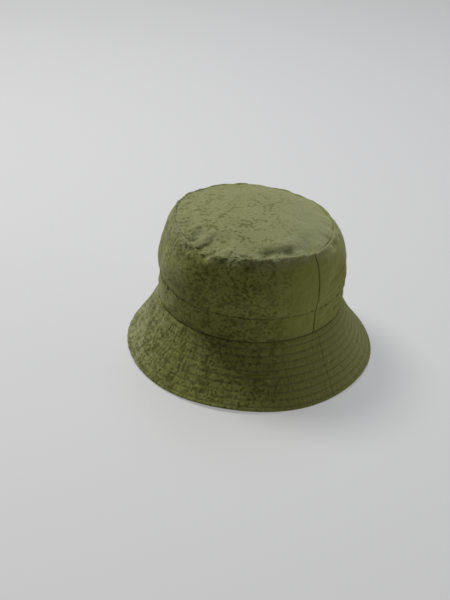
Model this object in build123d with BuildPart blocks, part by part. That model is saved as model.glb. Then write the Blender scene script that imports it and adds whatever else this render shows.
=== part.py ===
"""A sewn bucket hat in woven fabric, cut and layered the way the real one is made.

The shell is a crown tip, two wall panels, two lower-band panels and a brim of two upper halves and two
under halves with a stiffener between them.  Inside are a lining, a sweatband and two sewn-in labels.
Panels meet at side seams on +X and -X, and the wearer faces -Y.  Everything but the labels is turned
as a round hat about +Z and then drawn out a little lengthwise, because a head is oval.
Units are millimetres, +Z is up, and the brim's edge stands on Z = 0.
"""

from build123d import *
from math import atan2, cos, degrees, pi, radians, sin, sqrt, tan
import os

# Driving dimensions
FIT_CIRCUMFERENCE = 580  # inside the sweatband, hat size 58
OVAL = 1.045  # length over width
BRIM_WIDTH = 66  # down the slope, seam to edge
BRIM_SLOPE = radians(56)  # below the horizontal
BAND_HEIGHT = 26.5
WALL_HEIGHT = 59  # band seam to tip seam
WALL_BULGE = 3.6  # how far the wall's middle stands out of its foot
SHOULDER_HEIGHT = 5  # of the rounded shoulder under the tip seam
SHOULDER_INSET = 4.5
TIP_INSET = 9.5  # tip seam inside the band seam
TIP_RISE = 6  # the tip's dome

# Cloth thicknesses, and the looseness between layers
SHELL_T = 0.9
SHELL_TO_LINING = 0.5
LINING_T = 0.5
LINING_END_INSET = 1  # the lining's tip seam inside the shell's
LINING_TO_SWEATBAND = 0.2
SWEATBAND_T = 1.4
SWEATBAND_HEIGHT = 32
BRIM_CLOTH_T = 0.7
STIFFENER_T = 1.0
PLY_GAP = 0.05  # between the plies of the brim, and at the tip's seam
HEM_HEIGHT = 0.8  # the upper brim's cloth, turned in under the edge
EDGE_TRIM = 0.5  # the edge is drawn this much too deep and cut flat, where the hat stands on it
STIFFENER_SETBACK = 5  # the seam allowances fill the last stretch before the edge
ALLOWANCE_T = 0.4  # a side seam's allowance, pressed flat behind its panel
ALLOWANCE_WIDTH = 8

# Stitching: each row is drawn as one thin ring of thread
THREAD_PROUD = 0.25
THREAD_WIDTH = 0.4
THREAD_GAP = 0.03
BRIM_ROWS = 8
BRIM_ROW_PITCH = 6.9
BRIM_FIRST_ROW = 6.5  # below the brim seam
EDGE_ROW = 5  # above the edge
TOPSTITCH_OFFSET = 2.2  # from a seam to the row beside it

# Labels
SIZE_LABEL_WIDTH, SIZE_LABEL_DROP, SIZE_LABEL_T = 22, 15, 0.6
CARE_LABEL_REACH, CARE_LABEL_HEIGHT, CARE_LABEL_T = 22, 23, 0.4
CARE_LABEL_LEAN = 7.5  # degrees off the seam's tangent, to lie along the curved lining
LABEL_ROLL_R = 0.45  # the sewn edge, folded into a small roll
LABEL_GAP = 0.35
SIZE_LABEL_BELOW_TOP = 3  # under the sweatband's upper edge
CARE_LABEL_ABOVE = 2.5  # over the sweatband's upper edge

# Radii and heights that follow, for the round hat
fit_r = FIT_CIRCUMFERENCE / (2 * pi)
shell_r = fit_r + SWEATBAND_T + LINING_TO_SWEATBAND + LINING_T + SHELL_TO_LINING + SHELL_T
edge_r = shell_r + BRIM_WIDTH * cos(BRIM_SLOPE)
tip_r = shell_r - TIP_INSET
brim_z = BRIM_WIDTH * sin(BRIM_SLOPE)
band_z = brim_z + BAND_HEIGHT
tip_z = band_z + WALL_HEIGHT
sweatband_z = brim_z + SWEATBAND_HEIGHT
brim_t = 2 * BRIM_CLOTH_T + STIFFENER_T + 2 * PLY_GAP
stiffener_top = BRIM_CLOTH_T + PLY_GAP
stiffener_z = STIFFENER_SETBACK * sin(BRIM_SLOPE)
allowance_depth = SHELL_T + ALLOWANCE_T
allowance_angle = degrees(ALLOWANCE_WIDTH / shell_r)
lining_depth = SHELL_T + SHELL_TO_LINING
lining_end_r = tip_r - LINING_END_INSET
sweatband_depth = lining_depth + LINING_T + LINING_TO_SWEATBAND
oval_x, oval_y = 1 / sqrt(OVAL), sqrt(OVAL)

# Each half panel turns 180 degrees from one side seam: the front half from -X, the back half from +X
HALVES = {"front": 180, "back": 0}


def spin_plane(angle=0):
    """The half plane through +Z at this angle from +X: local x is the radius and local y is the height."""
    turn = radians(angle)
    return Plane(origin=(0, 0, 0), x_dir=(cos(turn), sin(turn), 0), z_dir=(sin(turn), -cos(turn), 0))


def on_brim(distance, depth):
    """The point this far down the slope from the brim seam, this deep under the upper face."""
    z = brim_z - distance * sin(BRIM_SLOPE)
    return at_height(z, depth)


def at_height(z, depth):
    """The brim's point at this height, this deep under the upper face."""
    return (edge_r - z / tan(BRIM_SLOPE) - depth / sin(BRIM_SLOPE), z)


def brim_ply(outer, inner, low, high):
    """Outline of a ply of the brim between two depths and two heights."""
    Polyline(
        at_height(low, outer),
        at_height(high, outer),
        at_height(high, inner),
        at_height(low, inner),
        close=True,
    )


def wall_side(depth, end_r):
    """The bulged side and the rounded shoulder of the crown's wall, this deep under the outer face."""
    foot = (shell_r - depth, band_z)
    middle = (shell_r + WALL_BULGE - depth, (band_z + tip_z - SHOULDER_HEIGHT) / 2)
    shoulder = (shell_r - SHOULDER_INSET - depth, tip_z - SHOULDER_HEIGHT)
    side = ThreePointArc(foot, middle, shoulder)
    bend = TangentArc(side @ 1, (end_r, tip_z - depth), tangent=side % 1)
    return side, bend


def wall_ply(outer, inner, end_r, foot_z=band_z):
    """Outline of a ply of the wall between two depths.  With a lower foot it lines the band as well."""
    outside, outer_bend = wall_side(outer, end_r)
    inside, inner_bend = wall_side(inner, end_r)
    Line(outer_bend @ 1, inner_bend @ 1)
    if foot_z < band_z:
        Polyline(outside @ 0, (shell_r - outer, foot_z), (shell_r - inner, foot_z), inside @ 0)
    else:
        Line(outside @ 0, inside @ 0)


def domed_disc(depth, thickness, radius):
    """Outline of half a domed disc whose upper face is this far under the crown's top."""
    edge_z, crown_z = tip_z - depth, tip_z + TIP_RISE - depth
    TangentArc((0, crown_z), (radius, edge_z), tangent=(1, 0))
    Line((radius, edge_z), (radius, edge_z - thickness))
    TangentArc((0, crown_z - thickness), (radius, edge_z - thickness), tangent=(1, 0))
    Line((0, crown_z), (0, crown_z - thickness))


def upright_ply(outer, inner, low, high):
    """Outline of a plain upright ply between two depths and two heights."""
    Polyline(
        (shell_r - outer, low),
        (shell_r - outer, high),
        (shell_r - inner, high),
        (shell_r - inner, low),
        close=True,
    )


def thread(point, normal):
    """Cross-section of a stitch row that lies on the cloth at this point, whose normal is in degrees."""
    reach = THREAD_GAP + THREAD_PROUD / 2
    with Locations((point[0] + reach * cos(radians(normal)), point[1] + reach * sin(radians(normal)))):
        Rectangle(THREAD_PROUD, THREAD_WIDTH, rotation=normal)


def turn(outline, start=0, arc=360):
    """Turns a closed outline about +Z into the part being built, from this angle through this arc."""
    with BuildSketch(spin_plane(start)) as profile:
        with BuildLine():
            outline()
        make_face()
    revolve(profile.sketch, axis=Axis.Z, revolution_arc=arc)


def turn_threads(rows):
    """Turns a stitch row at each (point, normal) into the part being built."""
    with BuildSketch(spin_plane()) as profile:
        for point, normal in rows:
            thread(point, normal)
    revolve(profile.sketch, axis=Axis.Z)


def draw_out():
    """Draws the round piece being built out to the head's oval."""
    scale(by=(oval_x, oval_y, 1))


def save(name, piece):
    """Labels a finished piece and writes it."""
    piece.part.label = name
    export_step(piece.part, f"parts/{name}.step")


os.makedirs("parts", exist_ok=True)

# The shell: crown tip, wall, lower band
with BuildPart() as crown_tip:
    turn(lambda: domed_disc(0, SHELL_T, tip_r - PLY_GAP))
    draw_out()
save("crown_tip", crown_tip)

for half, start in HALVES.items():
    seams = (start, start + 180 - allowance_angle)

    with BuildPart() as crown_wall:
        turn(lambda: wall_ply(0, SHELL_T, tip_r), start, 180)
        for seam in seams:
            turn(lambda: wall_ply(SHELL_T, allowance_depth, tip_r), seam, allowance_angle)
        draw_out()
    save(f"crown_wall_{half}", crown_wall)

    with BuildPart() as lower_band:
        turn(lambda: upright_ply(0, SHELL_T, brim_z, band_z), start, 180)
        for seam in seams:
            turn(lambda: upright_ply(SHELL_T, allowance_depth, brim_z, band_z), seam, allowance_angle)
        draw_out()
    save(f"lower_band_{half}", lower_band)

# The brim: upper cloth with its turned-in hem, stiffener, under cloth
for half, start in HALVES.items():
    with BuildPart() as brim_top:
        turn(lambda: brim_ply(0, BRIM_CLOTH_T, -EDGE_TRIM, brim_z), start, 180)
        turn(lambda: brim_ply(BRIM_CLOTH_T, brim_t, -EDGE_TRIM, HEM_HEIGHT), start, 180)
        draw_out()
        split(bisect_by=Plane.XY, keep=Keep.TOP)
    save(f"brim_top_{half}", brim_top)

    with BuildPart() as brim_stiffener:
        turn(lambda: brim_ply(stiffener_top, stiffener_top + STIFFENER_T, stiffener_z, brim_z), start, 180)
        draw_out()
    save(f"brim_stiffener_{half}", brim_stiffener)

    with BuildPart() as brim_under:
        turn(lambda: brim_ply(brim_t - BRIM_CLOTH_T, brim_t, HEM_HEIGHT, brim_z), start, 180)
        draw_out()
    save(f"brim_under_{half}", brim_under)

# The inside: lining and sweatband
with BuildPart() as lining_tip:
    turn(lambda: domed_disc(lining_depth, LINING_T, lining_end_r - PLY_GAP))
    draw_out()
save("lining_tip", lining_tip)

for half, start in HALVES.items():
    with BuildPart() as lining_wall:
        turn(lambda: wall_ply(lining_depth, lining_depth + LINING_T, lining_end_r, brim_z), start, 180)
        draw_out()
    save(f"lining_wall_{half}", lining_wall)

with BuildPart() as sweatband:
    turn(lambda: upright_ply(sweatband_depth, sweatband_depth + SWEATBAND_T, brim_z, sweatband_z))
    draw_out()
save("sweatband", sweatband)

# Stitch rows, outside and inside
up, down, outward, inward = degrees(pi / 2 - BRIM_SLOPE), degrees(-pi / 2 - BRIM_SLOPE), 0, 180
row_distances = [BRIM_FIRST_ROW + row * BRIM_ROW_PITCH for row in range(BRIM_ROWS)]

with BuildPart() as brim_stitch_rows:
    turn_threads([(on_brim(distance, 0), up) for distance in row_distances])
    turn_threads([(on_brim(distance, brim_t), down) for distance in row_distances])
    draw_out()
save("brim_stitch_rows", brim_stitch_rows)

with BuildPart() as brim_edge_stitching:
    turn_threads([(on_brim(BRIM_WIDTH - EDGE_ROW, 0), up), (on_brim(BRIM_WIDTH - EDGE_ROW, brim_t), down)])
    draw_out()
save("brim_edge_stitching", brim_edge_stitching)

with BuildPart() as band_stitching:
    turn_threads([((shell_r, brim_z + TOPSTITCH_OFFSET), outward)])
    draw_out()
save("band_stitching", band_stitching)

with BuildLine(mode=Mode.PRIVATE):
    _, shoulder_bend = wall_side(0, tip_r)
tip_row = 1 - TOPSTITCH_OFFSET / shoulder_bend.length
tip_row_point, tip_row_along = shoulder_bend @ tip_row, shoulder_bend % tip_row
tip_row_normal = degrees(atan2(tip_row_along.Y, tip_row_along.X)) - 90

with BuildPart() as tip_stitching:
    turn_threads([((tip_row_point.X, tip_row_point.Y), tip_row_normal)])
    draw_out()
save("tip_stitching", tip_stitching)

with BuildPart() as sweatband_stitching:
    turn_threads(
        [
            ((fit_r, brim_z + TOPSTITCH_OFFSET), inward),
            ((fit_r, sweatband_z - TOPSTITCH_OFFSET / 2), inward),
        ]
    )
    draw_out()
save("sweatband_stitching", sweatband_stitching)

# The size label hangs on the sweatband at centre back, from a roll along its upper edge
size_label_sag = fit_r * oval_y * (1 - sqrt(1 - (SIZE_LABEL_WIDTH / 2 / (fit_r * oval_x)) ** 2))
size_label_y = fit_r * oval_y - size_label_sag - LABEL_GAP - SIZE_LABEL_T / 2
size_label_z = sweatband_z - SIZE_LABEL_BELOW_TOP

with BuildPart() as size_label:
    with BuildSketch(Plane.YZ):
        with Locations((size_label_y, size_label_z)):
            Circle(LABEL_ROLL_R)
            Rectangle(SIZE_LABEL_T, SIZE_LABEL_DROP, align=(Align.CENTER, Align.MAX))
    extrude(amount=SIZE_LABEL_WIDTH / 2, both=True)
save("size_label", size_label)

# The care label is caught in the lining's left side seam and lies forward along the lining
care_label_z = sweatband_z + CARE_LABEL_ABOVE
care_label_x = (shell_r - lining_depth - LINING_T) * oval_x - LABEL_ROLL_R - LABEL_GAP
lean = radians(CARE_LABEL_LEAN)

with BuildPart() as care_label:
    with BuildSketch(
        Plane(origin=(care_label_x, 0, care_label_z), x_dir=(-sin(lean), -cos(lean), 0), z_dir=(0, 0, 1))
    ):
        Circle(LABEL_ROLL_R)
        Rectangle(CARE_LABEL_REACH, CARE_LABEL_T, align=(Align.MIN, Align.CENTER))
    extrude(amount=CARE_LABEL_HEIGHT)
save("care_label", care_label)

print(f"size label turns about y {size_label_y:.3f}, z {size_label_z:.3f}")
print(f"care label turns about x {care_label_x:.3f}")
print(f"seam heights: brim {brim_z:.2f}, band {band_z:.2f}, tip {tip_z:.2f}")
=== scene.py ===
"""Looks for the bucket hat: puckered cloth panels, rows of stitches, lining, labels, camera and light.

The shell is one grid of points in polar form, from the middle of the tip down to the brim's edge.  The
crown's part of it is settled as cloth, the brim's is shaped by formula, and the panels are then cut out
of it, so that neighbours meet at their seams.  Angles run round +Z from +X, as on the CAD model, and a
distance is measured along the shell from the middle of the tip.
"""
import math
import bpy
import numpy as np
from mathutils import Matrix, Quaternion, Vector


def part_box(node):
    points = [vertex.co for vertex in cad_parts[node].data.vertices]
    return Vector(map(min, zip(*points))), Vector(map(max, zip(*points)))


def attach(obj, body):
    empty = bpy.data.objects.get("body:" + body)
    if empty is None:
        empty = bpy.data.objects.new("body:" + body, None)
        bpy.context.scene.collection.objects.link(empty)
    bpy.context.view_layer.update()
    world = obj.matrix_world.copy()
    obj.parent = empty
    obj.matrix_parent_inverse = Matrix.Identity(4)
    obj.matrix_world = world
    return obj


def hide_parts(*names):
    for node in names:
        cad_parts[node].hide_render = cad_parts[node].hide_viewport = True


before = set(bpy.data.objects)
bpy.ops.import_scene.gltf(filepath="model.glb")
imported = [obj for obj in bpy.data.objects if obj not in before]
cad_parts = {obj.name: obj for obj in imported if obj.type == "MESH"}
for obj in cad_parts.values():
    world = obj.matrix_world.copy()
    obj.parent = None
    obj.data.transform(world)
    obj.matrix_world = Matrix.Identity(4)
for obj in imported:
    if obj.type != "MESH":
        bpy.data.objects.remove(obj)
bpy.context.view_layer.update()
scene = bpy.context.scene

# ---- Sizes in metres, read from the CAD nodes where they hold them ----


def turned(node):
    """(radius of the round shape, lowest height, highest height) of a node turned about +Z."""
    low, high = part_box(node)
    half_width = (high.x - low.x) / 2
    half_length = max(-low.y, high.y)
    return math.sqrt(half_width * half_length), low.z, high.z


tip_low, tip_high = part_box("crown_tip")
STRETCH_Y = math.sqrt((tip_high.y - tip_low.y) / (tip_high.x - tip_low.x))
STRETCH_X = 1 / STRETCH_Y
TIP_R, _, TOP_Z = turned("crown_tip")
BULGE_R, BAND_Z, TIP_Z = turned("crown_wall_front")
SHELL_R, BRIM_Z, _ = turned("lower_band_front")
EDGE_R, EDGE_Z, _ = turned("brim_top_front")
SWEATBAND_R, _, SWEATBAND_Z = turned("sweatband")
SLOPE = math.atan2(BRIM_Z - EDGE_Z, EDGE_R - SHELL_R)
BRIM_WIDTH = math.hypot(BRIM_Z - EDGE_Z, EDGE_R - SHELL_R)

SHOULDER_HEIGHT = 0.005  # of the wall's rounded shoulder under the tip seam
SHOULDER_INSET = 0.0045
BRIM_SAG = 0.0022  # how far the brim's slope hollows
CLOTH_T = 0.0006
BRIM_T = 0.0025  # upper cloth, stiffener and under cloth together
LINING_T = 0.0003
SWEATBAND_T = 0.0013
LINING_GAP = 0.00015  # at the least, under the shell's cloth
LAYER_GAP = 0.00007  # between the brim's plies
LABEL_ROLL_R = 0.00045
CARE_LABEL_LEAN = 7.5  # degrees off the side seam's tangent

STITCH_ROWS = 8
ROW_PITCH = 0.0069
FIRST_ROW = 0.0065  # below the brim seam
EDGE_ROW = 0.005  # above the edge
TOPSTITCH = 0.0022  # from a seam to the row beside it

# ---- Camera, floor and light ----


def toward(azimuth, elevation):
    """Unit vector from the hat towards this direction, in degrees.  Azimuth 0 is -Y and 90 is +X."""
    a, e = math.radians(azimuth), math.radians(elevation)
    return Vector((math.sin(a) * math.cos(e), -math.cos(a) * math.cos(e), math.sin(e)))


def make_camera():
    lens, distance = 70, 1.225
    azimuth, elevation, clockwise = 44.7, 30.75, 5.8
    back = toward(azimuth, elevation)
    data = bpy.data.cameras.new("camera")
    data.lens = lens
    data.shift_x, data.shift_y = -0.043, -0.0193
    aim = Vector((0, 0, 0.059))
    camera = bpy.data.objects.new("camera", data)
    camera.location = aim + back * distance
    camera.rotation_mode = "QUATERNION"
    camera.rotation_quaternion = Quaternion(back, math.radians(clockwise)) @ (-back).to_track_quat("-Z", "Y")
    scene.collection.objects.link(camera)
    scene.camera = camera


def area_light(name, azimuth, elevation, distance, size, power, tint=(1, 1, 1)):
    """A round softbox that faces the hat from this direction."""
    data = bpy.data.lights.new(name, "AREA")
    data.shape = "DISK"
    data.size, data.energy, data.color = size, power, tint
    light = bpy.data.objects.new(name, data)
    light.location = Vector((0, 0, 0.08)) + toward(azimuth, elevation) * distance
    light.rotation_mode = "QUATERNION"
    light.rotation_quaternion = toward(azimuth, elevation).to_track_quat("Z", "Y")
    scene.collection.objects.link(light)


def set_inputs(shader, values):
    for key, value in values.items():
        shader.inputs[key].default_value = value


def make_stage():
    reach = 6
    corners = [(-reach, -reach, 0), (reach, -reach, 0), (reach, reach, 0), (-reach, reach, 0)]
    mesh = bpy.data.meshes.new("floor")
    mesh.from_pydata(corners, [], [(0, 1, 2, 3)])
    floor = bpy.data.objects.new("floor", mesh)
    scene.collection.objects.link(floor)
    material = bpy.data.materials.new("pale_floor")
    material.use_nodes = True
    set_inputs(material.node_tree.nodes["Principled BSDF"], {
        "Base Color": (0.24, 0.232, 0.212, 1),
        "Emission Color": (0.985, 1, 0.995, 1),
        "Emission Strength": 0.315,  # as of a lit table, which keeps shadows faint
        "Roughness": 0.7,
        "Specular IOR Level": 0.2,
    })
    mesh.materials.append(material)
    world = bpy.data.worlds.new("studio")
    world.use_nodes = True
    set_inputs(world.node_tree.nodes["Background"], {"Color": (0.84, 0.83, 0.74, 1), "Strength": 0.165})
    scene.world = world
    area_light("overhead", 222, 58, 1.7, 1.0, 11.6, (0.96, 1, 1.36))
    area_light("left", -76, 56, 1.6, 0.6, 26, (0.98, 1, 1.04))
    area_light("right", 132, 8, 1.6, 0.5, 5.5)
    scene.view_settings.view_transform = "Standard"


make_camera()
make_stage()

# ---- The plain shell ----


def bezier(points, count):
    """Points along a Bezier curve of any degree, ends included."""
    t = np.linspace(0, 1, count)[:, None]
    degree = len(points) - 1
    return sum(
        math.comb(degree, i) * t**i * (1 - t) ** (degree - i) * np.array(point)
        for i, point in enumerate(points)
    )


def along(points):
    """Distance along a line of points, from its start."""
    steps = np.linalg.norm(np.diff(points, axis=0), axis=1)
    return np.concatenate([[0], np.cumsum(steps)])


def outline():
    """The round hat's outline as (radius, height) points: tip, wall, band and brim, joined at the seams."""
    radius = np.linspace(0, TIP_R, 200)
    tip = np.stack([radius, TIP_Z + (TOP_Z - TIP_Z) * (1 - (radius / TIP_R) ** 2)], 1)
    foot = (SHELL_R, BAND_Z)
    shoulder = (SHELL_R - SHOULDER_INSET, TIP_Z - SHOULDER_HEIGHT)
    bulge = (8 * BULGE_R - foot[0] - shoulder[0]) / 6  # puts the curve's middle at BULGE_R
    third = (shoulder[1] - foot[1]) / 3
    side = bezier([foot, (bulge, foot[1] + third), (bulge, shoulder[1] - third), shoulder], 200)[::-1]
    heading = side[0] - side[1]
    corner = side[0] + heading * (TIP_Z - side[0][1]) / heading[1]
    bend = bezier([(TIP_R, TIP_Z), tuple(corner), shoulder], 60)
    band = np.array([(SHELL_R, BAND_Z), (SHELL_R, BRIM_Z)])
    t = np.linspace(0, 1, 200)[:, None]
    brim = (1 - t) * np.array([SHELL_R, BRIM_Z]) + t * np.array([EDGE_R, EDGE_Z])
    brim -= BRIM_SAG * np.sin(math.pi * t) ** 1.2 * np.array([math.sin(SLOPE), math.cos(SLOPE)])
    return [tip, np.vstack([bend, side[1:]]), band, brim]


PARTS = outline()
LENGTHS = [along(part)[-1] for part in PARTS]
TIP_SEAM, BAND_SEAM, BRIM_SEAM, BRIM_EDGE = np.cumsum(LENGTHS)
OUTLINE = np.vstack([PARTS[0], *[part[1:] for part in PARTS[1:]]])
OUTLINE_AT = along(OUTLINE)


# Where the crown stands flatter or has slumped, as (degrees round, distance, half sizes in degrees and
# metres, metres outward, metres up)
SLUMPS = [
    (0, (TIP_SEAM + BAND_SEAM) / 2, 34, 0.024, -0.0030, 0),
    (-132, TIP_SEAM + 0.022, 30, 0.022, -0.0035, 0),
    (-77, TIP_SEAM, 26, 0.016, 0.0028, -0.0036),
    (-26, TIP_SEAM, 24, 0.016, -0.0008, 0.0026),
]


def place(distance, angle):
    """Points of the plain shell, standing as soft cloth stands: the crown leans and widens towards its
    top, and the brim reaches out further on one side."""
    radius = np.interp(distance, OUTLINE_AT, OUTLINE[:, 0])
    height = np.interp(distance, OUTLINE_AT, OUTLINE[:, 1])
    down = np.clip((distance - BRIM_SEAM) / BRIM_WIDTH, 0, 1)
    up = np.maximum((height - BRIM_Z) / (TIP_Z - BRIM_Z), 0) ** 2
    for degrees, at, half_turn, half_width, outward, rise in SLUMPS:
        share = patch(angle, distance, degrees, at, half_turn, half_width)
        radius, height = radius + outward * share, height + rise * share
    angle = angle + (0.06 - 0.09 * down) * (1 - np.exp(-down / 0.02))  # the brim's seams miss the band's
    reach = 0.056 * np.cos(angle) - 0.004 * np.sin(angle) - 0.014 * np.sin(2 * angle)
    widening = 0.017 * np.cos(2 * angle) - 0.045 * np.sin(2 * angle)
    radius = radius * (1 + down * reach) * (1 + np.minimum(up, 1) * widening)
    x = radius * np.cos(angle) * STRETCH_X
    y = radius * np.sin(angle) * STRETCH_Y
    return np.stack([x - 0.0034 * up, y - 0.0018 * up, height + up * (0.015 * x - 0.052 * y)], -1)


def ripple(angle, across, waves, seed, pitch=0.0, count=24):
    """A smooth random field of about unit size, periodic round the hat.  waves is the (fewest, most) round
    it, and pitch how much the waves slant, in radians per metre of the distance."""
    draw = np.random.default_rng(seed)
    total = 0
    for _ in range(count):
        around = draw.integers(waves[0], waves[1] + 1) * draw.choice([-1, 1])
        slant = draw.normal(0, 1) * pitch
        phase = draw.uniform(0, 2 * np.pi)
        total = total + np.cos(around * angle + slant * across + phase)
    return total / math.sqrt(count / 2)


def swell(points, sizes, seed, count=24):
    """A smooth random field of about unit size over space.  sizes is its (shortest, longest) wave."""
    draw = np.random.default_rng(seed)
    total = 0
    for _ in range(count):
        heading = draw.normal(size=3)
        wave = heading / np.linalg.norm(heading) * 2 * np.pi / draw.uniform(*sizes)
        total = total + np.cos(points @ wave + draw.uniform(0, 2 * np.pi))
    return total / math.sqrt(count / 2)


def near(distance, seam, width):
    """1 at the seam, falling off to 0 within about twice this width."""
    return np.exp(-(((distance - seam) / width) ** 2))


def side_distance(angle):
    """How far an angle is from the nearer side seam, round the shell."""
    return np.abs(np.arcsin(np.clip(np.sin(angle), -1, 1))) * SHELL_R


def patch(angle, distance, degrees, at, half_turn, half_width):
    """1 at one place on the shell, falling off over these half sizes, in degrees round and metres across."""
    apart = np.degrees(np.angle(np.exp(1j * (angle - math.radians(degrees)))))
    return np.exp(-((apart / half_turn) ** 2) - ((distance - at) / half_width) ** 2)


def on_side(angle, degrees, half_turn):
    """1 on one side of the hat from tip to edge, falling off over this many degrees round."""
    return patch(angle, 0, degrees, 0, half_turn, 1)


# ---- Settling the crown as cloth ----

SIM_SCALE = 10  # the solver is steadier on a larger object
SIM_PITCH = 0.0022
SIM_TURN = 264
SIM_FRAMES = 30


def sim_rings():
    """(distance, number of points) of each ring of the simulated crown, from the middle outwards."""
    starts = [0, TIP_SEAM, BAND_SEAM, BRIM_SEAM]
    distance = np.concatenate([
        np.linspace(a, b, round((b - a) / SIM_PITCH), endpoint=False) for a, b in zip(starts, starts[1:])
    ])
    distance = np.append(distance, BRIM_SEAM)[1:]
    radius = np.interp(distance, OUTLINE_AT, OUTLINE[:, 0])
    around = 12 * np.round(2 * np.pi * radius / SIM_PITCH / 12).astype(int)
    return distance, np.clip(around, 12, SIM_TURN)


def zip_rings(inner, inner_count, outer, outer_count):
    """Faces between two rings of points: quads where the counts match, else triangles."""
    if inner_count == outer_count:
        following = [(i + 1) % outer_count for i in range(outer_count)]
        return [(inner + i, outer + i, outer + k, inner + k) for i, k in enumerate(following)]
    faces, i, j = [], 0, 0
    while i < inner_count or j < outer_count:
        a, b = inner + i % inner_count, outer + j % outer_count
        if (j + 1) * inner_count <= (i + 1) * outer_count:
            j += 1
            faces.append((a, b, outer + j % outer_count))
        else:
            i += 1
            faces.append((a, b, inner + i % inner_count))
    return faces


def resampled(ring, count):
    """A closed ring of points at another number of evenly spaced angles, by its Fourier series."""
    spectrum = np.fft.rfft(ring, axis=0)
    wanted = np.zeros((count // 2 + 1, 3), complex)
    kept = min(len(spectrum), len(wanted))
    wanted[:kept] = spectrum[:kept]
    if count > len(ring):
        wanted[kept - 1] /= 2
    return np.fft.irfft(wanted, count, axis=0) * count / len(ring)


def liveliness(angle):
    """How crumpled the tip's edge is, round the hat: most at the front, little at the back."""
    front = on_side(angle, -78, 48)
    return np.clip(0.7 + 0.5 * ripple(angle, 0, (3, 11), 3), 0.2, 1.6) * (0.15 + 0.85 * front)


def starting_bumps(points, distance, angle):
    """How far the crown's cloth stands off the plain shell before it settles."""
    edge = near(distance, TIP_SEAM - 0.0065, 0.005) * ripple(angle, distance, (22, 56), 5, 350)
    drag = near(distance, BRIM_SEAM - 0.012, 0.02) * ripple(angle, distance, (8, 30), 6, 120)
    return 0.0006 * swell(points, (0.03, 0.08), 4) + 0.0009 * liveliness(angle) * edge + 0.0003 * drag


def add_weights(piece, name, weights):
    """A vertex group with these weights, in steps of a hundredth."""
    group = piece.vertex_groups.new(name=name)
    steps = np.round(np.clip(weights, 0, 1), 2)
    for level in np.unique(steps):
        group.add(np.flatnonzero(steps == level).tolist(), float(level), "REPLACE")


def settle_crown():
    """The crown as cloth, a little too roomy beside its tight seams.  Returns the rings' distances, and
    their points as an even grid."""
    distance, around = sim_rings()
    first = np.concatenate([[1], 1 + np.cumsum(around)])
    at = np.concatenate([[0.0], np.repeat(distance, around)])
    angle = np.concatenate([[0.0]] + [np.arange(n) * 2 * np.pi / n for n in around])
    points = place(at, angle)
    bumps = starting_bumps(points, at, angle)
    lower, wider = place(at + 0.001, angle), place(at, angle + 0.01)
    outward = np.cross(lower - points, wider - points)
    outward[0] = (0, 0, 1)
    outward /= np.maximum(np.linalg.norm(outward, axis=1, keepdims=True), 1e-12)
    points = points + outward * bumps[:, None]

    faces = [(0, 1 + i, 1 + (i + 1) % around[0]) for i in range(around[0])]
    for k in range(len(around) - 1):
        faces += zip_rings(int(first[k]), int(around[k]), int(first[k + 1]), int(around[k + 1]))
    mesh = bpy.data.meshes.new("crown_settling")
    mesh.from_pydata((points * SIM_SCALE).tolist(), [], faces)
    sim = bpy.data.objects.new("crown_settling", mesh)
    scene.collection.objects.link(sim)

    # Rest lengths: 0 gives the most room, beside the tip seam, and 1 is the tight cloth of a seam
    tight = 0.8 * (1 - np.where(at < TIP_SEAM, near(at, TIP_SEAM - 0.008, 0.006), 0))
    tight = np.maximum(tight, near(at, TIP_SEAM, 0.002))
    add_weights(sim, "tight", tight)
    add_weights(sim, "hold", np.where(at > BRIM_SEAM - 0.0005, 1, 0.03 * near(at, TIP_SEAM, 0.002)))

    modifier = sim.modifiers.new("cloth", "CLOTH")
    modifier.collision_settings.use_collision = False
    modifier.point_cache.frame_start, modifier.point_cache.frame_end = 1, SIM_FRAMES
    settings = modifier.settings
    settings.quality = 6
    settings.mass = 0.3
    settings.tension_stiffness = settings.compression_stiffness = 30
    settings.shear_stiffness = 10
    settings.bending_stiffness = 2.5
    settings.vertex_group_mass = "hold"
    settings.vertex_group_shrink = "tight"
    settings.shrink_min, settings.shrink_max = -0.0025, 0.0
    settings.use_pressure = True
    settings.uniform_pressure_force = 0.2
    settings.effector_weights.gravity = 0.01
    for step in range(1, SIM_FRAMES + 1):
        scene.frame_set(step)
    settled = sim.evaluated_get(bpy.context.evaluated_depsgraph_get())
    found = np.empty(len(points) * 3)
    settled.data.vertices.foreach_get("co", found)
    found = found.reshape(-1, 3) / SIM_SCALE
    bpy.data.objects.remove(sim)
    bpy.data.meshes.remove(mesh)
    scene.frame_set(1)
    even = [np.repeat(found[:1], SIM_TURN, 0)]
    even += [resampled(found[a : a + n], SIM_TURN) for a, n in zip(first, around)]
    return np.concatenate([[0], distance]), np.stack(even)


def spline_weights(at, count, closed):
    """Catmull-Rom weights, as a matrix, that read a row of this many points at fractional places."""
    base = np.floor(at).astype(int)
    if not closed:
        base = np.clip(base, 0, count - 2)
    t = at - base
    weights = np.stack([
        -0.5 * t + t**2 - 0.5 * t**3,
        1 - 2.5 * t**2 + 1.5 * t**3,
        0.5 * t + 2 * t**2 - 1.5 * t**3,
        -0.5 * t**2 + 0.5 * t**3,
    ], 1)
    matrix = np.zeros((len(at), count))
    for k in range(4):
        column = base + k - 1
        column = column % count if closed else np.clip(column, 0, count - 1)
        np.add.at(matrix, (np.arange(len(at)), column), weights[:, k])
    return matrix


def read_grid(grid, known, distance, angle):
    """A grid known at some distances and at even angles, read at other distances and angles."""
    rows = spline_weights(np.interp(distance, known, np.arange(len(known))), len(known), False)
    columns = spline_weights(angle / (2 * np.pi) * grid.shape[1], grid.shape[1], True)
    return np.einsum("ri,ijk,cj->rck", rows, grid, columns, optimize=True)


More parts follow.
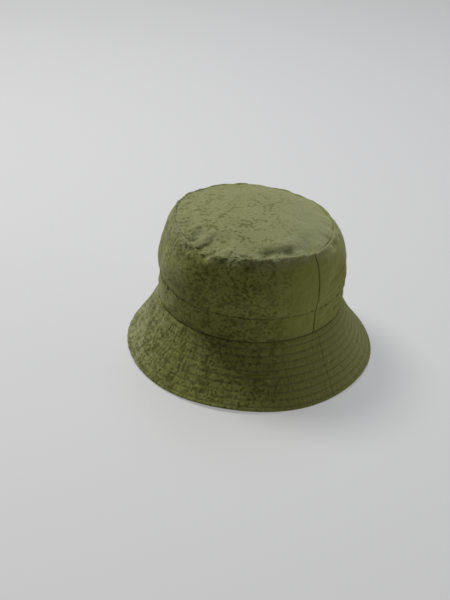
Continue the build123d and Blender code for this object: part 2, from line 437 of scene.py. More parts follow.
def normals(grid):
    """Outward unit normals of a grid whose columns close round the hat."""
    down = np.gradient(grid, axis=0)
    wrapped = np.concatenate([grid[:, -1:], grid, grid[:, :1]], 1)
    cross = np.cross(down, wrapped[:, 2:] - wrapped[:, :-2])
    return cross / np.maximum(np.linalg.norm(cross, axis=-1, keepdims=True), 1e-12)


def smoothed(field, times):
    """A grid or field with each point averaged with its neighbours, a number of times."""
    for _ in range(times):
        around = (np.roll(field, 1, 1) + np.roll(field, -1, 1) + 2 * field) / 4
        field = around.copy()
        field[1:-1] = (around[:-2] + around[2:] + 2 * around[1:-1]) / 4
    return field


EASE_OVER = 0.006  # from a seam, over which the easing comes in


def eased(distance, grid):
    """The settled cloth with its sharpest creases eased, except close beside a seam."""
    from_seam = np.minimum(np.abs(distance - TIP_SEAM), np.abs(distance - BAND_SEAM))
    return grid + (smoothed(grid, 4) - grid) * np.clip(from_seam / EASE_OVER, 0, 1)[:, None, None]


settled_at, settled = settle_crown()
settled = eased(settled_at, settled)

# ---- The finished shell as one grid ----

BESIDE_SEAM = np.array([0, 0.3, 0.6, 1.0, 1.5, 2.2]) / 1000


def rows_between(start, end, pitch):
    """Distances from one seam to the next, closer together beside both."""
    middle = np.linspace(start, end, round((end - start) / pitch) + 1)
    middle = middle[(middle > start + BESIDE_SEAM[-1]) & (middle < end - BESIDE_SEAM[-1])]
    return np.concatenate([start + BESIDE_SEAM, middle, (end - BESIDE_SEAM)[::-1]])


def make_columns():
    """Angles round the hat, closer together beside the side seams, which fall on columns."""
    count = 880
    beside = np.concatenate([-BESIDE_SEAM[::-1], BESIDE_SEAM]) / SHELL_R
    even = np.arange(count) * 2 * np.pi / count
    even = even[side_distance(even) > BESIDE_SEAM[-1]]
    return np.unique(np.round(np.concatenate([even, beside % (2 * np.pi), np.pi + beside]), 9))


COLUMNS = make_columns()
EDGE_ROLL = BRIM_T / 2
ROLL_AT = BRIM_EDGE - EDGE_ROLL * (1 + math.cos(SLOPE)) / math.sin(SLOPE)  # so the roll rests on the floor
LIP = 0.001  # of upper cloth, seen under the edge
brim_stitch_at = [BRIM_SEAM + FIRST_ROW + k * ROW_PITCH for k in range(STITCH_ROWS)]
edge_stitch_at = BRIM_EDGE - EDGE_ROW

TIP_ROWS = np.concatenate([[0.0004], rows_between(0.0012, TIP_SEAM, 0.0008)[1:]])
WALL_ROWS = rows_between(TIP_SEAM, BAND_SEAM, 0.0010)
BAND_ROWS = rows_between(BAND_SEAM, BRIM_SEAM, 0.0009)
BRIM_ROWS = rows_between(BRIM_SEAM, ROLL_AT, 0.00066)
ROWS = np.concatenate([TIP_ROWS, WALL_ROWS[1:], BAND_ROWS[1:], BRIM_ROWS[1:]])


def span(start, end):
    """The slice of ROWS from one seam to another."""
    return slice(np.searchsorted(ROWS, start - 1e-7), np.searchsorted(ROWS, end + 1e-7))


TIP, WALL = span(0, TIP_SEAM), span(TIP_SEAM, BAND_SEAM)
BAND, BRIM = span(BAND_SEAM, BRIM_SEAM), span(BRIM_SEAM, ROLL_AT)


def side_groove(s, a):
    """1 along the side seams, which run from the tip's seam to the edge."""
    return np.where(s > TIP_SEAM, near(side_distance(a), 0, 0.0006), 0)


def row_groove(s):
    """1 along each row of stitches on the brim."""
    return sum(near(s, at, 0.0009) for at in [*brim_stitch_at, edge_stitch_at])


# Dents, folds and knots of cloth beside the tip's seam, as (degrees round, metres inside the seam, half
# sizes in degrees and metres, metres of rise)
DENTS = [
    (2, 0.013, 10, 0.009, -0.0042),
    (13, 0.007, 6, 0.007, 0.0012),
    (-9, 0.018, 7, 0.008, 0.0018),
    (-24, 0.008, 14, 0.005, -0.0030),
    (-28, -0.0055, 5, 0.0032, 0.0016),
    (-45, 0.012, 5, 0.007, -0.0014),
    (-64, -0.0060, 4, 0.0042, 0.0018),
    (-72, 0.005, 5, 0.006, -0.0022),
    (-80, 0.014, 3, 0.010, 0.0018),
    (-88, 0.010, 4, 0.008, -0.0022),
    (-97, 0.016, 3.5, 0.009, 0.0020),
    (-106, 0.010, 5, 0.006, -0.0020),
    (-122, 0.013, 5, 0.008, 0.0014),
]


def crown_relief(s, a):
    """How far the crown's seams, ridges, dents and small puckers stand off the settled cloth."""
    lively = liveliness(a)
    ridge = 0.3 + 0.7 * on_side(a, -25, 48)
    ridge = ridge * np.clip(0.75 + 0.4 * ripple(a, 0, (9, 34), 27), 0.1, 1.5)
    lift = 0.0005 * lively * ripple(a, s, (24, 64), 22, 150) * near(s, TIP_SEAM - 0.003, 0.006)
    lift += 0.00022 * lively * ripple(a, s, (40, 90), 23, 400) * near(s, TIP_SEAM + 0.003, 0.004)
    lift += 0.0026 * ridge * near(s, TIP_SEAM + 0.0030, 0.0021)
    lift -= 0.0014 * ridge * near(s, TIP_SEAM - 0.0018, 0.0020)
    lift -= 0.0007 * near(s, TIP_SEAM, 0.0006)
    valley = on_side(a, -20, 26) * np.clip(0.8 + 0.4 * ripple(a, 0, (6, 24), 28), 0.2, 1.5)
    lift -= 0.0030 * valley * near(s, TIP_SEAM - 0.0042, 0.0045)
    lift += 0.0016 * valley * near(s, TIP_SEAM - 0.0150, 0.0070)
    for degrees, inside, half_turn, half_width, rise in DENTS:
        lift += rise * patch(a, s, degrees, TIP_SEAM - inside, half_turn, half_width)

    drag = 0.25 + on_side(a, 24, 17)
    lift += 0.0006 * drag * ripple(a, s, (12, 40), 24, 700) * near(s, (BAND_SEAM + BRIM_SEAM) / 2, 0.014)
    lift += 0.0006 * drag * ripple(a, s, (6, 22), 25, 420) * near(s, BAND_SEAM - 0.022, 0.022)
    lift += 0.00025 * ripple(a, s, (30, 90), 26, 300) * near(s, BAND_SEAM, 0.004)
    return lift - 0.0004 * near(s, BAND_SEAM, 0.0006)


def brim_relief(s, a):
    """How far the quilted brim stands off its plain slope, channels and fine radial puckers together."""
    left = 0.25 + on_side(a, -100, 40)
    lift = 0.00008 * left * ripple(a, s, (110, 210), 31, 250) * (1 - row_groove(s))
    lift += 0.00022 * left * ripple(a, s, (16, 70), 32, 90)
    return lift - 0.0004 * row_groove(s)


def held_out(grid):
    """The crown's grid kept from falling in where the sweatband stands behind it."""
    x, y, z = np.moveaxis(grid, -1, 0)
    inmost = SHELL_R - 0.0002 - np.maximum(z - SWEATBAND_Z, 0)
    beside = (z > BRIM_Z - 1e-6) & (z < SWEATBAND_Z + 0.015)
    grow = np.where(beside, inmost / np.maximum(np.hypot(x / STRETCH_X, y / STRETCH_Y), 1e-6), 1)
    return grid * np.stack([np.maximum(grow, 1)] * 2 + [np.ones_like(z)], -1)


SEWN_CLOSE = 0.004  # over this far from the brim's seam the crown keeps the shape it is sewn to


def shape_shell():
    """The whole shell's outer surface, ROWS by COLUMNS."""
    s, a = ROWS[:, None], COLUMNS[None, :]
    crown = ROWS < BRIM_SEAM - 1e-7
    sewn = np.clip((s - BRIM_SEAM + SEWN_CLOSE) / SEWN_CLOSE, 0, 1)[..., None]
    grid = place(s, a)
    grid[crown] += (read_grid(settled, settled_at, ROWS[crown], COLUMNS) - grid[crown]) * (1 - sewn[crown])
    grid = held_out(grid)
    down = np.clip((s - BRIM_SEAM) / BRIM_WIDTH, 0, 1)
    wave = ripple(a, 0, (2, 6), 30)
    lift = np.where(s < BRIM_SEAM, crown_relief(s, a), brim_relief(s, a))
    lift = lift * np.clip(np.abs(s - BRIM_SEAM) / SEWN_CLOSE, 0, 1)
    lift = lift - 0.0006 * near(s, BRIM_SEAM, 0.0008)
    lift = lift - np.where(s < BRIM_SEAM, 0.0009, 0.0004) * side_groove(s, a)
    grid = grid + normals(grid) * lift[..., None]
    grid[..., 2] += 0.0008 * down**2 * (wave - wave.min())
    return grid


shell = shape_shell()
shell_out = smoothed(normals(shell), 2)
shell_out /= np.linalg.norm(shell_out, axis=-1, keepdims=True)


def under(depth, rows=slice(None)):
    """The shell's grid at this depth under its outer surface."""
    return shell[rows] - shell_out[rows] * np.broadcast_to(depth, shell[rows].shape[:2])[..., None]


def edge_roll(depth):
    """Rows that turn the upper brim's cloth round the edge and back under it, at this depth in the cloth."""
    last, out = shell[-1], shell_out[-1]
    slope = shell[-1] - shell[-4]
    slope /= np.linalg.norm(slope, axis=1, keepdims=True)
    reach = EDGE_ROLL - depth
    turns = np.linspace(0, np.pi, 11)[1:, None, None]
    centre = last - out * EDGE_ROLL
    roll = centre + reach * (np.cos(turns) * out + np.sin(turns) * slope)
    lip = roll[-1] - slope * np.linspace(0, LIP, 4)[1:, None, None]
    return np.concatenate([roll, lip])


# ---- Materials ----


def node(tree, kind, inputs=(), **settings):
    """A shader node with its settings, and its inputs set to values or linked to other nodes' outputs."""
    made = tree.nodes.new("ShaderNode" + kind)
    for key, value in settings.items():
        setattr(made, key, value)
    for key, value in dict(inputs).items():
        if isinstance(value, bpy.types.NodeSocket):
            tree.links.new(value, made.inputs[key])
        else:
            made.inputs[key].default_value = value
    return made


def calculate(tree, operation, first, second=0.0):
    return node(tree, "Math", {0: first, 1: second}, operation=operation).outputs[0]


def times(tree, first, second):
    return calculate(tree, "MULTIPLY", first, second)


def ramp(tree, value, start, end, low=0.0, high=1.0):
    """value carried smoothly from low at start to high at end."""
    inputs = {"Value": value, "From Min": start, "From Max": end, "To Min": low, "To Max": high}
    return node(tree, "MapRange", inputs, interpolation_type="SMOOTHSTEP").outputs["Result"]


def noise(tree, where, scale, detail=2.0, roughness=0.5):
    inputs = {"Vector": where, "Scale": scale, "Detail": detail, "Roughness": roughness}
    return node(tree, "TexNoise", inputs).outputs["Fac"]


def tinted(tree, factor, first, second, blend_type="MIX"):
    inputs = {0: factor, 6: first, 7: second}
    return node(tree, "Mix", inputs, data_type="RGBA", blend_type=blend_type).outputs[2]


def weave(tree, uv, thread, twill=False):
    """Height of a woven cloth's threads, this wide, over a UV map in metres."""
    apart = node(tree, "SeparateXYZ", {0: uv}).outputs
    turns = math.pi / thread
    across = times(tree, apart[0], turns)
    down = times(tree, apart[1], turns)
    if twill:
        down = calculate(tree, "ADD", across, down)
        across = times(tree, across, 0.35)
    return times(tree, calculate(tree, "SINE", across), calculate(tree, "SINE", down))


def sockets(tree):
    """The object's own coordinates and its UV map."""
    outputs = node(tree, "TexCoord").outputs
    return outputs["Object"], outputs["UV"]


def new_material(name, roughness, sheen=0.0, sheen_roughness=0.5, specular=0.3):
    material = bpy.data.materials.new(name)
    material.use_nodes = True
    shader = material.node_tree.nodes["Principled BSDF"]
    set_inputs(shader, {
        "Roughness": roughness, "Specular IOR Level": specular, "Sheen Weight": sheen,
        "Sheen Roughness": sheen_roughness, "Sheen Tint": (1, 1, 1, 1),
    })
    return material, material.node_tree, shader


def bumped(tree, shader, layers):
    """Bump of several (height, metres of relief) layers, one over another."""
    normal = None
    for height, distance in layers:
        inputs = {"Height": height, "Distance": distance, "Strength": 1.0}
        if normal is not None:
            inputs["Normal"] = normal
        normal = node(tree, "Bump", inputs).outputs["Normal"]
    tree.links.new(normal, shader.inputs["Normal"])


def make_shell_cloth():
    """Washed olive cotton in a plain weave: a painted sheen greys the tip, one side of the brim is paler,
    from wear and painted light together, the front is spotted, and painted shade darkens the seams and rows
    of stitches."""
    material, tree, shader = new_material("olive_cotton", 0.85, 0.24, 0.45, 0.05)
    shader.inputs["Sheen Tint"].default_value = (1, 0.98, 0.7, 1)
    where, uv = sockets(tree)
    x, y, z = node(tree, "SeparateXYZ", {0: where}).outputs
    colour = tinted(tree, noise(tree, where, 28, 3), (0.172, 0.183, 0.041, 1), (0.146, 0.156, 0.032, 1))
    heather = noise(tree, where, 620, 3, 0.7)
    colour = tinted(tree, ramp(tree, heather, 0.35, 0.7, 0, 0.5), colour, (0.225, 0.236, 0.072, 1))

    # Fine puckers down the brim; on the -X side their ridges are pale streaks, partly wear and partly
    # painted sheen
    turn = calculate(tree, "ARCTAN2", y, x)
    low = ramp(tree, z, 0.050, 0.058, 1, 0)
    radial = node(tree, "CombineXYZ", {0: times(tree, turn, 85), 1: times(tree, z, 80)})
    streaks = times(tree, noise(tree, radial.outputs[0], 1.0, 3, 0.6), low)
    worn_and_lit_side = ramp(tree, x, -0.07, 0.02, 1, 0.1)
    # Painted light with wear: the brim paler on the -X side, where the left lamp falls
    colour = tinted(tree, times(tree, times(tree, low, worn_and_lit_side), 0.75), colour, (0.245, 0.255, 0.108, 1))
    worn_and_sheen_streaks = times(tree, ramp(tree, streaks, 0.46, 0.64, 0, 0.6), worn_and_lit_side)
    colour = tinted(tree, worn_and_sheen_streaks, colour, (0.32, 0.33, 0.165, 1))

    # Spots cover the front, and thin out towards the back and on the tip
    backward = times(tree, calculate(tree, "ADD", x, y), math.sqrt(0.5))
    away = times(tree, calculate(tree, "SUBTRACT", y, x), math.sqrt(0.5))
    front = times(tree, ramp(tree, backward, 0.008, 0.060, 1, 0), ramp(tree, away, 0.02, 0.09, 1, 0.2))
    on_tip = ramp(tree, z, 0.131, 0.142)
    even_front = times(tree, front, ramp(tree, on_tip, 0, 1, 1, 0.3))
    ragged = noise(tree, where, 420, 3, 0.65)
    dots = node(tree, "TexVoronoi", {"Vector": where, "Scale": 250, "Randomness": 1}).outputs["Distance"]
    dots = calculate(tree, "ADD", times(tree, ragged, 0.9), dots)
    where_dots = calculate(tree, "SUBTRACT", noise(tree, where, 75, 2), times(tree, on_tip, 0.055))
    dots = calculate(tree, "SUBTRACT", times(tree, where_dots, 1.3), dots)
    spots = times(tree, ramp(tree, dots, -0.27, -0.09), front)
    # Painted sheen: the tip made greyer, standing in for the overhead light's sheen on it
    colour = tinted(tree, times(tree, on_tip, 0.55), colour, (0.166, 0.172, 0.096, 1))
    mottle = times(tree, ramp(tree, noise(tree, where, 300, 3, 0.6), 0.48, 0.64), even_front)
    patches = times(tree, ramp(tree, noise(tree, where, 62, 2), 0.50, 0.62), even_front)
    # The seam attribute is painted shade, in the seams' grooves and along the brim's rows of stitches
    seam = node(tree, "Attribute", attribute_name="seam").outputs["Fac"]
    for mask, share, dark in (
        (patches, 0.4, (0.090, 0.097, 0.015, 1)),
        (mottle, 0.55, (0.075, 0.081, 0.013, 1)),
        (spots, 0.65, (0.058, 0.063, 0.010, 1)),
        # painted shade in the seams and along the rows of stitches
        (seam, 0.6, (0.055, 0.060, 0.012, 1)),
    ):
        colour = tinted(tree, times(tree, mask, share), colour, dark)
    tree.links.new(colour, shader.inputs["Base Color"])

    # Small puckers drawn up by the tip's seam, mostly at the front
    flat = node(tree, "CombineXYZ", {0: x, 1: y}).outputs[0]
    from_middle = node(tree, "VectorMath", {0: flat}, operation="LENGTH").outputs["Value"]
    rim = times(tree, ramp(tree, z, 0.124, 0.136), ramp(tree, from_middle, 0.072, 0.085))
    rim = times(tree, rim, ramp(tree, backward, -0.02, 0.04, 1, 0.15))
    puckers = times(tree, noise(tree, where, 210, 2, 0.5), rim)
    crumple = noise(tree, where, 170, 4, 0.6)
    threads = weave(tree, uv, 0.00042)
    layers = [(puckers, 0.0030), (streaks, 0.0012), (crumple, 0.0013), (threads, 0.00005), (heather, 0.0001)]
    bumped(tree, shader, layers)
    return material


def make_plain_cloth(name, colour, darker, thread, relief, twill=False, roughness=0.8, sheen=0.1):
    """A woven cloth of one colour, with faint variation and its threads as bump."""
    material, tree, shader = new_material(name, roughness, sheen)
    where, uv = sockets(tree)
    threads = weave(tree, uv, thread, twill)
    mixed = tinted(tree, ramp(tree, noise(tree, where, 120, 4), 0.35, 0.65), colour, darker)
    # Darker where the weave dips: painted shade between the threads
    mixed = tinted(tree, ramp(tree, threads, -1, 1, 0.25, 0), mixed, darker)
    tree.links.new(mixed, shader.inputs["Base Color"])
    bumped(tree, shader, [(noise(tree, where, 140, 2), 0.0006), (threads, relief)])
    return material


def make_interlining():
    """Bonded fibres, pressed into a flat felt."""
    material, tree, shader = new_material("bonded_interlining", 0.9)
    where = node(tree, "TexCoord").outputs["Object"]
    fibres = noise(tree, where, 1800, 5, 0.75)
    colour = tinted(tree, fibres, (0.62, 0.61, 0.56, 1), (0.78, 0.77, 0.72, 1))
    tree.links.new(colour, shader.inputs["Base Color"])
    bumped(tree, shader, [(fibres, 0.0002)])
    return material


def make_thread(name, colour, darker):
    """Spun sewing thread, twisted on a slant."""
    material, tree, shader = new_material(name, 0.6, 0.2, 0.4, 0.4)
    where, uv = sockets(tree)
    twist = weave(tree, uv, 0.0004, twill=True)
    mixed = tinted(tree, noise(tree, where, 60), colour, darker)
    # Darker in the twist's grooves: painted shade
    mixed = tinted(tree, ramp(tree, twist, -1, 1, 0.5, 0), mixed, darker)
    tree.links.new(mixed, shader.inputs["Base Color"])
    bumped(tree, shader, [(twist, 0.00006)])
    return material


MATERIALS = {
    "shell_cloth": make_shell_cloth(),
    "lining_cloth": make_plain_cloth(
        "olive_lining", (0.115, 0.120, 0.058, 1), (0.085, 0.090, 0.040, 1), 0.0003, 0.00003, roughness=0.55
    ),
    "sweatband_cloth": make_plain_cloth(
        "sweatband_twill", (0.075, 0.078, 0.038, 1), (0.045, 0.047, 0.022, 1), 0.0007, 0.00012, twill=True
    ),
    "label_cloth": make_plain_cloth(
        "label_satin", (0.72, 0.71, 0.66, 1), (0.60, 0.59, 0.54, 1), 0.0003, 0.00003, roughness=0.4
    ),
    "stiffener": make_interlining(),
    "thread": make_thread("olive_thread", (0.125, 0.132, 0.038, 1), (0.080, 0.086, 0.024, 1)),
}

# ---- Building the pieces ----


def add_piece(name, vertices, faces, slot_name, replaced, uv, seam=None, body="shell"):
    """A piece with smooth faces, its UV map in metres and, on the shell, each point's painted shade at seams
    and stitch rows.
    """
    mesh = bpy.data.meshes.new(name)
    mesh.from_pydata(vertices.tolist(), [], faces)
    mesh.polygons.foreach_set("use_smooth", np.ones(len(mesh.polygons), bool))
    corners = np.empty(len(mesh.loops), int)
    mesh.loops.foreach_get("vertex_index", corners)
    layer = mesh.uv_layers.new(name="metres")
    layer.data.foreach_set("uv", uv[corners].astype(np.float32).ravel())
    if seam is not None:
        shade = mesh.attributes.new("seam", "FLOAT", "POINT")
        shade.data.foreach_set("value", seam.astype(np.float32).ravel())
    mesh.materials.append(MATERIALS[slot_name])
    piece = bpy.data.objects.new(name, mesh)
    scene.collection.objects.link(piece)
    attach(piece, body)
    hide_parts(*replaced)
    return piece


def grid_faces(rows, columns, closed, start=0, flip=False):
    """Quads over a grid of points numbered row by row.  They face outwards on an outward grid."""
    i, j = np.meshgrid(np.arange(rows - 1), np.arange(columns if closed else columns - 1), indexing="ij")
    k = (j + 1) % columns
    quads = np.stack([i * columns + j, (i + 1) * columns + j, (i + 1) * columns + k, i * columns + k], -1)
    quads = quads.reshape(-1, 4) + start
    return quads[:, ::-1] if flip else quads


def closed_sheet(outer, inner, closed, capped=False):
    """Points and faces of a sheet with thickness, between two grids of the same size.  closed sheets go
    all the way round, and capped ones have no hole in the middle."""
    rows, columns = outer.shape[:2]
    count = rows * columns
    faces = [grid_faces(rows, columns, closed), grid_faces(rows, columns, closed, count, flip=True)]

    def edge(line):
        """Faces that join the two grids along a line of points that has the outer grid on its right."""
        line = np.array(line)
        a, b = line[:-1], line[1:]
        return np.stack([a, b, b + count, a + count], -1)

    ring = np.arange(columns)
    ring = np.append(ring, 0) if closed else ring
    faces.append(edge((ring + (rows - 1) * columns)[::-1]))
    if not capped:
        faces.append(edge(ring))
    if not closed:
        side = np.arange(rows) * columns
        faces += [edge(side[::-1]), edge(side + columns - 1)]
    points = np.concatenate([outer.reshape(-1, 3), inner.reshape(-1, 3)])
    faces = np.concatenate(faces).tolist()
    if capped:
        faces += [list(range(columns)), [count + j for j in reversed(range(columns))]]
    return points, faces


def half_columns(half):
    """Columns of the front (-Y) or back (+Y) half, seam to seam."""
    half_way = int(np.argmin(np.abs(COLUMNS - np.pi)))
    return np.append(np.arange(half_way, len(COLUMNS)), 0) if half == "front" else np.arange(half_way + 1)


def unrolled(rows):
    """UV in metres for the wall and band, which unroll into strips."""
    s, a = np.meshgrid(rows, COLUMNS, indexing="ij")
    return np.stack([a * SHELL_R, s], -1)


def fanned(rows):
    """UV in metres for the brim, which unrolls into a fan."""
    s, a = np.meshgrid(rows, COLUMNS, indexing="ij")
    reach = s - BRIM_SEAM + SHELL_R / math.cos(SLOPE)
    turn = a * math.cos(SLOPE)
    return np.stack([reach * np.cos(turn), reach * np.sin(turn)], -1)


def thinned(indices, every):
    """Every so many of these, the last one kept."""
    return np.append(indices[:-1:every], indices[-1])


def add_cloth(name, outer, inner, uv, slot_name, replaced, seam=None, half=None, every=1, capped=False):
    """A sheet of cloth between two grids, whole or as one half, on every so many of their lines."""
    rows = thinned(np.arange(len(outer)), every)
    columns = thinned(half_columns(half), every) if half else np.arange(0, len(COLUMNS), every)
    pick = np.ix_(rows, columns)
    outer, inner, uv = outer[pick], inner[pick], uv[pick]
    seam = None if seam is None else seam[pick]
    points, faces = closed_sheet(outer, inner, not half, capped)
    uv = np.tile(uv.reshape(-1, 2), (2, 1))
    seam = None if seam is None else np.tile(seam.ravel(), 2)
    return add_piece(name, points, faces, slot_name, replaced, uv, seam)


# Painted shade, 0 to 1, in the grooves of the seams and along the brim's rows of stitches
seam_shade = np.clip(
    0.8 * sum(near(ROWS, at, 0.0007) for at in (TIP_SEAM, BAND_SEAM, BRIM_SEAM))[:, None]
    + side_groove(ROWS[:, None], COLUMNS) * np.where(ROWS < BRIM_SEAM, 1.2, 0.35)[:, None]
    + 0.4 * row_groove(ROWS)[:, None],
    0, 1,
)

# The shell
add_cloth(
    "crown_tip_cloth", shell[TIP], under(CLOTH_T, TIP), shell[TIP][..., :2],
    "shell_cloth", ["crown_tip"], seam_shade[TIP], every=2, capped=True,
)
for half in ("front", "back"):
    for part, rows in (("crown_wall", WALL), ("lower_band", BAND)):
        add_cloth(
            f"{part}_{half}_cloth", shell[rows], under(CLOTH_T, rows), unrolled(ROWS[rows]),
            "shell_cloth", [f"{part}_{half}"], seam_shade[rows], half,
        )

# The brim: its upper cloth rolls round the edge, and the stiffener lies between both cloths
ROLLED = 13  # rows of edge_roll
STIFFENER_SETBACK = 0.005
rolled_rows = np.concatenate([ROWS[BRIM], ROLL_AT + np.linspace(0.0004, 0.005, ROLLED)])
# The rolled edge gets a little painted shade too
rolled_shade = np.concatenate([seam_shade[BRIM], np.full((ROLLED, len(COLUMNS)), 0.1)])
under_rows = span(BRIM_SEAM, ROLL_AT - LIP - 0.0003)
stiff_rows = span(BRIM_SEAM, ROLL_AT - STIFFENER_SETBACK)
pinch = 0.0008 * row_groove(ROWS)[:, None]  # how much thinner the brim is along its rows of stitches
for half in ("front", "back"):
    add_cloth(
        f"brim_top_{half}_cloth",
        np.concatenate([shell[BRIM], edge_roll(0)]),
        np.concatenate([under(CLOTH_T, BRIM), edge_roll(CLOTH_T)]),
        fanned(rolled_rows), "shell_cloth", [f"brim_top_{half}"], rolled_shade, half,
    )
    add_cloth(
        f"brim_stiffener_{half}_felt",
        under(CLOTH_T + LAYER_GAP, stiff_rows),
        under(BRIM_T - CLOTH_T - LAYER_GAP - pinch[stiff_rows], stiff_rows),
        fanned(ROWS[stiff_rows]), "stiffener", [f"brim_stiffener_{half}"], half=half, every=2,
    )
    add_cloth(
        f"brim_under_{half}_cloth",
        under(BRIM_T - CLOTH_T - pinch[under_rows], under_rows),
        under(BRIM_T - pinch[under_rows], under_rows),
        fanned(ROWS[under_rows]), "shell_cloth", [f"brim_under_{half}"], seam_shade[under_rows], half,
    )

# The lining hangs just inside the settled cloth, smoother than it
crown = slice(0, span(BRIM_SEAM - 0.003, BRIM_SEAM).start)
calm = read_grid(smoothed(settled, 8), settled_at, ROWS[crown], COLUMNS)
calm_out = normals(calm)
depth = np.einsum("ijk,ijk->ij", calm - under(CLOTH_T, crown), calm_out)
for shift in (1, 2, 3):
    depth = np.maximum(depth, np.maximum(np.roll(depth, shift, 1), np.roll(depth, -shift, 1)))
    depth[1:-1] = np.maximum(depth[1:-1], np.maximum(depth[2:], depth[:-2]))
depth = smoothed(depth, 3)[..., None] + LINING_GAP
lining = calm - calm_out * depth
lining_inner = lining - calm_out * LINING_T
add_cloth(
    "lining_tip_cloth", lining[TIP], lining_inner[TIP], lining[TIP][..., :2],
    "lining_cloth", ["lining_tip"], every=2, capped=True,
)
lining_rows = slice(WALL.start, crown.stop)
for half in ("front", "back"):
    add_cloth(
        f"lining_wall_{half}_cloth", lining[lining_rows], lining_inner[lining_rows],
        unrolled(ROWS[lining_rows]), "lining_cloth", [f"lining_wall_{half}"], half=half, every=2,
    )


def upright(radius, heights):
    """A grid round the oval at these round radii and heights."""
    radius, heights = np.broadcast_arrays(radius, heights)
    x = radius[:, None] * np.cos(COLUMNS) * STRETCH_X
    y = radius[:, None] * np.sin(COLUMNS) * STRETCH_Y
    return np.stack([x, y, np.broadcast_to(heights[:, None], x.shape)], -1)


# The sweatband, a folded strip whose upper edge is rounded
BAND_ROUND = 0.0012  # how far down the rounding reaches
BAND_FOOT = 0.0317  # down to the strip's lower edge
band_drops = [np.geomspace(0.00002, BAND_ROUND, 8), np.linspace(0.003, BAND_FOOT, 20)]
band_heights = SWEATBAND_Z - np.concatenate(band_drops)
from_top = np.minimum((SWEATBAND_Z - band_heights) / BAND_ROUND, 1)
swell_by = SWEATBAND_T / 2 * np.sqrt(1 - (1 - from_top) ** 2)
sweatband_middle = SWEATBAND_R - SWEATBAND_T / 2
sweatband_inside = upright(sweatband_middle - swell_by, band_heights)
add_cloth(
    "sweatband_strip", upright(sweatband_middle + swell_by, band_heights), sweatband_inside,
    unrolled(SWEATBAND_Z - band_heights), "sweatband_cloth", ["sweatband"], every=2,
)


def add_label(name, root, reach_along, facing, width, reach, ply_t, loop_r):
    """A tape label folded double, from its rolled root out to its fold.  Its plies lie loop_r either side
    of the middle, and its free end bows a little the way it faces."""
    reach_along, facing = np.array(reach_along), np.array(facing)
    across = np.cross(reach_along, facing)
    half_turn = np.linspace(0, np.pi, 9)[:, None]
    out = np.linspace(0, reach - loop_r, 24)[:, None]
    fold = np.concatenate([reach - loop_r + loop_r * np.sin(half_turn), -loop_r * np.cos(half_turn)], 1)
    roll = np.concatenate([-loop_r * np.sin(half_turn[:-1]), loop_r * np.cos(half_turn[:-1])], 1)
    line = np.concatenate([
        np.concatenate([out[1:-1], np.full_like(out[1:-1], -loop_r)], 1), fold,
        np.concatenate([out[1:-1][::-1], np.full_like(out[1:-1], loop_r)], 1), roll,
    ])
    heading = np.gradient(line, axis=0)
    heading /= np.linalg.norm(heading, axis=1, keepdims=True)
    left = np.stack([-heading[:, 1], heading[:, 0]], 1)
    side = np.linspace(-width / 2, width / 2, 25)
    bow, flutter = 0.0009, 0.0002

    def ply(offset):
        p, q = (line + left * offset).T
        q = q + bow * (np.clip(p, 0, None) / reach) ** 2
        wave = flutter * np.clip(p / reach, 0, 1)[:, None] * np.sin(side / width * 7 + p[:, None] * 150)
        middle = np.array(root) + p[:, None] * reach_along
        return middle[:, None] + (q[:, None] + wave)[..., None] * facing + side[None, :, None] * across

    grid_in, grid_out = ply(-ply_t / 2), ply(ply_t / 2)
    points, faces = closed_sheet(grid_out, grid_in, False)
    uv = np.stack(np.broadcast_arrays(side[None, :], along(line)[:, None]), -1)
    uv = np.tile(uv.reshape(-1, 2), (2, 1))
    piece = add_piece(f"{name}_tape", points, faces, "label_cloth", [name], uv, body=name)


size_low, size_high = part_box("size_label")
add_label(
    "size_label", root=(0, (size_low.y + size_high.y) / 2, size_high.z - LABEL_ROLL_R),
    reach_along=(0, 0, -1), facing=(0, -1, 0),
    width=size_high.x - size_low.x, reach=size_high.z - LABEL_ROLL_R - size_low.z,
    ply_t=0.00022, loop_r=0.00019,
)
care_low, care_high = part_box("care_label")
lean = math.radians(CARE_LABEL_LEAN)
care_reach = (care_high.y - LABEL_ROLL_R - care_low.y) / math.cos(lean)
care_middle = (care_low.z + care_high.z) / 2
add_label(
    "care_label", root=(care_high.x - LABEL_ROLL_R, care_high.y - LABEL_ROLL_R, care_middle),
    reach_along=(-math.sin(lean), -math.cos(lean), 0), facing=(-math.cos(lean), math.sin(lean), 0),
    width=care_high.z - care_low.z, reach=care_reach, ply_t=0.00015, loop_r=0.00012,
)

# ---- Stitching ----

STITCH_PITCH = 0.0032
STITCH_SHARE = 0.74  # of the pitch that each stitch covers
THREAD_R = 0.0002
THREAD_SIDES = 5


def ring_on(grid, out, rows, distance, angles):
    """Points and outward normals at these angles round a grid, at one distance along it."""
    found = []
    for field in (grid, out):
        axes = np.moveaxis(field, -1, 0)
        row = np.array([[np.interp(distance, rows, column) for column in axis.T] for axis in axes])
        found.append(np.stack([np.interp(angles, COLUMNS, axis, period=2 * np.pi) for axis in row], -1))
    return found


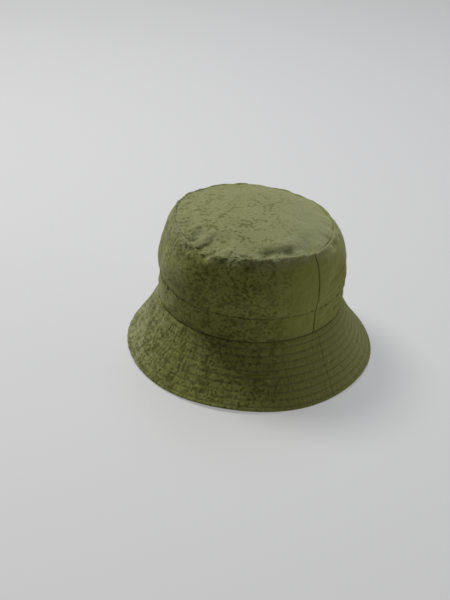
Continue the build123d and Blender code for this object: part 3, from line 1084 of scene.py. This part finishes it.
def stitches(grid, out, rows, distance, seed):
    """Points, faces and UV of one row of stitches, short rounded beads whose ends sink into the cloth."""
    draw = np.random.default_rng(seed)
    x, y, _ = ring_on(grid, out, rows, distance, COLUMNS[::20])[0].T
    count = round(2 * np.pi * np.hypot(x, y).mean() / STITCH_PITCH)
    turn = 2 * np.pi / count
    start = np.arange(count)[:, None] * turn + draw.uniform(0, turn)
    parts = np.array([-0.5, -0.32, 0, 0.32, 0.5])
    rise = np.array([-0.00012, 0.00006, 0.00012, 0.00006, -0.00012])
    thick = THREAD_R * np.array([0.6, 0.95, 1, 0.95, 0.6])
    angles = (start + parts * turn * STITCH_SHARE).ravel() % (2 * np.pi)
    points, facing = ring_on(grid, out, rows, distance, angles)
    forward = np.stack([-np.sin(angles), np.cos(angles), 0 * angles], -1)
    sideways = np.cross(forward, facing)
    sideways /= np.linalg.norm(sideways, axis=1, keepdims=True)
    rise, thick = np.tile(rise, count)[:, None, None], np.tile(thick, count)[:, None, None]
    around = np.arange(THREAD_SIDES)[:, None] * 2 * np.pi / THREAD_SIDES
    tube = points[:, None] + facing[:, None] * (rise + thick * np.cos(around))
    tube = tube + sideways[:, None] * thick * np.sin(around)
    rings, sides = len(parts), THREAD_SIDES
    first = np.arange(count)[:, None, None] * rings * sides
    i, j = np.meshgrid(np.arange(rings - 1), np.arange(sides), indexing="ij")
    k = (j + 1) % sides
    quads = np.stack([i * sides + j, i * sides + k, (i + 1) * sides + k, (i + 1) * sides + j], -1)
    quads = (quads.reshape(1, -1, 4) + first).reshape(-1, 4)
    caps = np.stack([np.arange(sides)[::-1], np.arange(sides) + (rings - 1) * sides])
    caps = (caps[None] + first).reshape(-1, sides)
    along_thread = np.repeat(np.tile(parts * STITCH_PITCH, count), sides)
    round_thread = np.tile(np.arange(sides) * THREAD_R, count * rings)
    return tube.reshape(-1, 3), quads.tolist() + caps.tolist(), np.stack([along_thread, round_thread], 1)


def add_stitching(name, lines):
    """All the rows of one CAD node.  Each line is (grid, normals, distances of its rows, distance)."""
    vertices, faces, uv, total = [], [], [], 0
    for seed, line in enumerate(lines):
        points, polygons, where = stitches(*line, seed)
        faces += [[corner + total for corner in polygon] for polygon in polygons]
        vertices.append(points)
        uv.append(where)
        total += len(points)
    return add_piece(f"{name}_thread", np.concatenate(vertices), faces, "thread", [name], np.concatenate(uv))


underside = under(BRIM_T - pinch)


def top_line(at, rows=BRIM):
    """A row of stitches on the shell's outer surface, at this distance."""
    return shell[rows], shell_out[rows], ROWS[rows], at


def under_line(at):
    """The same row as it shows under the brim."""
    return underside[BRIM], -shell_out[BRIM], ROWS[BRIM], at


add_stitching("brim_stitch_rows", [line(at) for at in brim_stitch_at for line in (top_line, under_line)])
add_stitching("brim_edge_stitching", [top_line(edge_stitch_at), under_line(edge_stitch_at)])
add_stitching("band_stitching", [top_line(BRIM_SEAM - TOPSTITCH, BAND)])
add_stitching("tip_stitching", [top_line(TIP_SEAM + TOPSTITCH, WALL)])
sweatband_out = -normals(sweatband_inside)
sweatband_lines = [TOPSTITCH / 2, SWEATBAND_Z - BRIM_Z - TOPSTITCH]
add_stitching("sweatband_stitching", [
    (sweatband_inside, sweatband_out, SWEATBAND_Z - band_heights, down) for down in sweatband_lines
])
